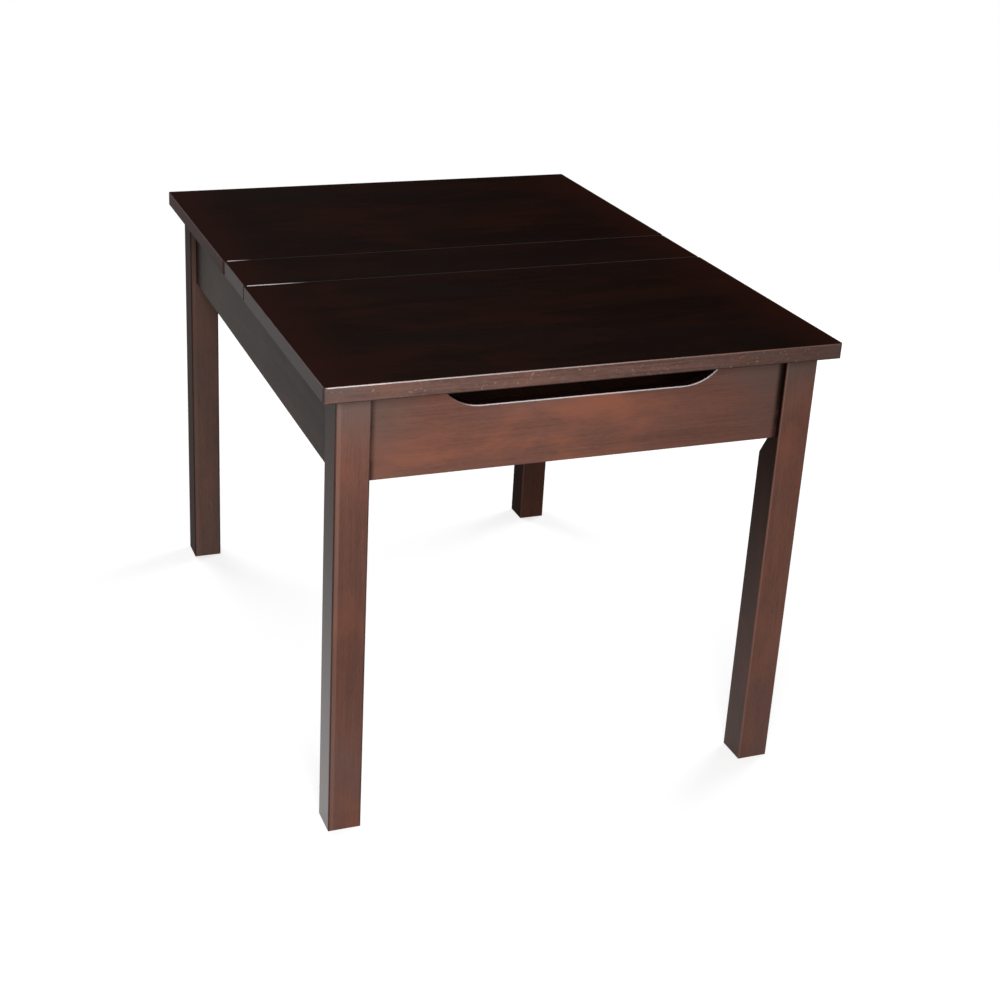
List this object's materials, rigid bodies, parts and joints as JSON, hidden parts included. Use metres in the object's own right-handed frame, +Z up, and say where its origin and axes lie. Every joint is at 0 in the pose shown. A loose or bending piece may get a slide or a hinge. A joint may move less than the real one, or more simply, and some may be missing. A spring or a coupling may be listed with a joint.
{
  "type": "kids table",
  "caption": "Children's storage table with square legs, aprons with finger scoops, and two lids hinged to a fixed centre strip, each held open by curved stays.",
  "frame": {"origin": "on the floor under the middle of the table", "axes": "+X along the short ends, to the right seen from the front; +Y along the long sides, to the rear; +Z up"},
  "size_m": [0.622, 0.818, 0.565],
  "materials": {
    "top_finish": "satin near-black brown stain and lacquer",
    "frame_finish": "satin reddish brown stain and lacquer over straight grain",
    "inner_finish": "stained, matt",
    "floor_finish": "stained board, matt",
    "bare_wood": "bare beech",
    "bronze_steel": "dark bronze, satin",
    "zinc_steel": "zinc plated",
    "nylon": "black nylon"
  },
  "bodies": {
    "frame": {"leg_front_left": "frame_finish", "leg_front_right": "frame_finish", "leg_rear_left": "frame_finish", "leg_rear_right": "frame_finish", "front_apron": "frame_finish", "rear_apron": "frame_finish", "left_apron": "frame_finish", "right_apron": "frame_finish", "apron_dowels": "bare_wood", "corner_block_front_left": "inner_finish", "corner_block_front_right": "inner_finish", "corner_block_rear_left": "inner_finish", "corner_block_rear_right": "inner_finish", "corner_block_screws": "zinc_steel", "leg_bolts": "zinc_steel", "leg_bolt_washers": "zinc_steel", "leg_bolt_nuts": "zinc_steel", "front_cleat": "inner_finish", "rear_cleat": "inner_finish", "left_cleat": "inner_finish", "right_cleat": "inner_finish", "cleat_screws": "zinc_steel", "floor_panel": "floor_finish", "floor_screws": "bronze_steel", "divider": "inner_finish", "strip_front_cleat": "inner_finish", "strip_rear_cleat": "inner_finish", "divider_screws": "zinc_steel", "centre_strip": "top_finish", "strip_dowels": "bare_wood", "strip_screws": "zinc_steel", "front_hinge_fixed_leaf": "bronze_steel", "front_hinge_pin": "bronze_steel", "front_hinge_fixed_screws": "bronze_steel", "rear_hinge_fixed_leaf": "bronze_steel", "rear_hinge_pin": "bronze_steel", "rear_hinge_fixed_screws": "bronze_steel", "stay_spacers": "nylon", "stay_knobs": "bronze_steel"},
    "front_lid_group": {"front_lid": "top_finish", "front_hinge_lid_leaf": "bronze_steel", "front_hinge_lid_screws": "bronze_steel", "front_stay_left": "bronze_steel", "front_stay_right": "bronze_steel", "front_stay_screws": "bronze_steel"},
    "rear_lid_group": {"rear_lid": "top_finish", "rear_hinge_lid_leaf": "bronze_steel", "rear_hinge_lid_screws": "bronze_steel", "rear_stay_left": "bronze_steel", "rear_stay_right": "bronze_steel", "rear_stay_screws": "bronze_steel"}
  },
  "joints": [
    {"name": "front_lid_hinge", "type": "hinge", "parent": "frame", "child": "front_lid_group", "pos_m": [0, -0.053, 0.5632], "axis": [-1, 0, 0], "range_deg": [0, 90]},
    {"name": "rear_lid_hinge", "type": "hinge", "parent": "frame", "child": "rear_lid_group", "pos_m": [0, 0.053, 0.5632], "axis": [1, 0, 0], "range_deg": [0, 90]}
  ]
}
